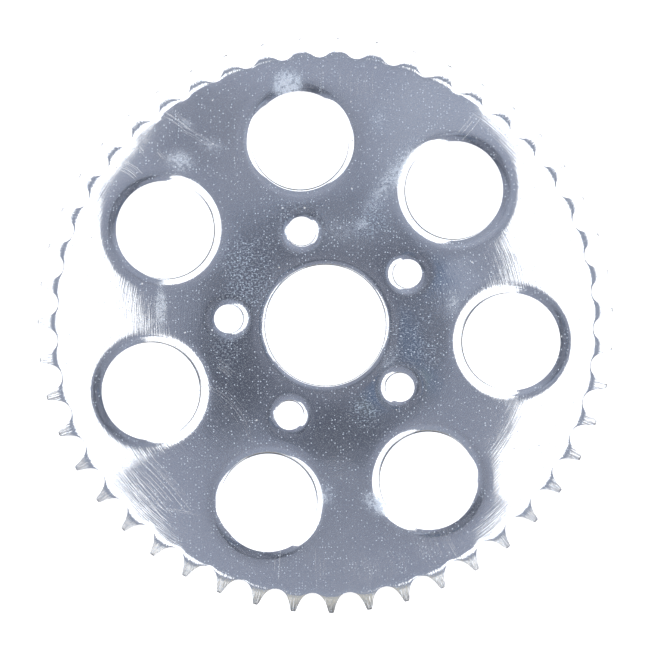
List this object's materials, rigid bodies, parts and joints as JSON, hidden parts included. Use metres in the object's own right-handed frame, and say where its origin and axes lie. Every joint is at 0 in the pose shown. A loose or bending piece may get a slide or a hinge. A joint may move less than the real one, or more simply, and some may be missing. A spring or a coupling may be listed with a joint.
{
  "type": "rear sprocket",
  "caption": "Flat chrome-plated steel chain sprocket with a round hub bore, a circle of bolt holes and a ring of large round lightening holes.",
  "frame": {"origin": "centre of the hub bore, on the plate's middle plane, which is the plane of the chain", "axes": "+Z along the wheel axis, out of the polished outer face; +X and +Y in the plane of the plate"},
  "size_m": [0.2445, 0.2446, 0.0088],
  "materials": {
    "chrome_plate": "buffed chrome plating with fine polishing scratches"
  },
  "bodies": {
    "root": {"sprocket": "chrome_plate"}
  },
  "joints": []
}
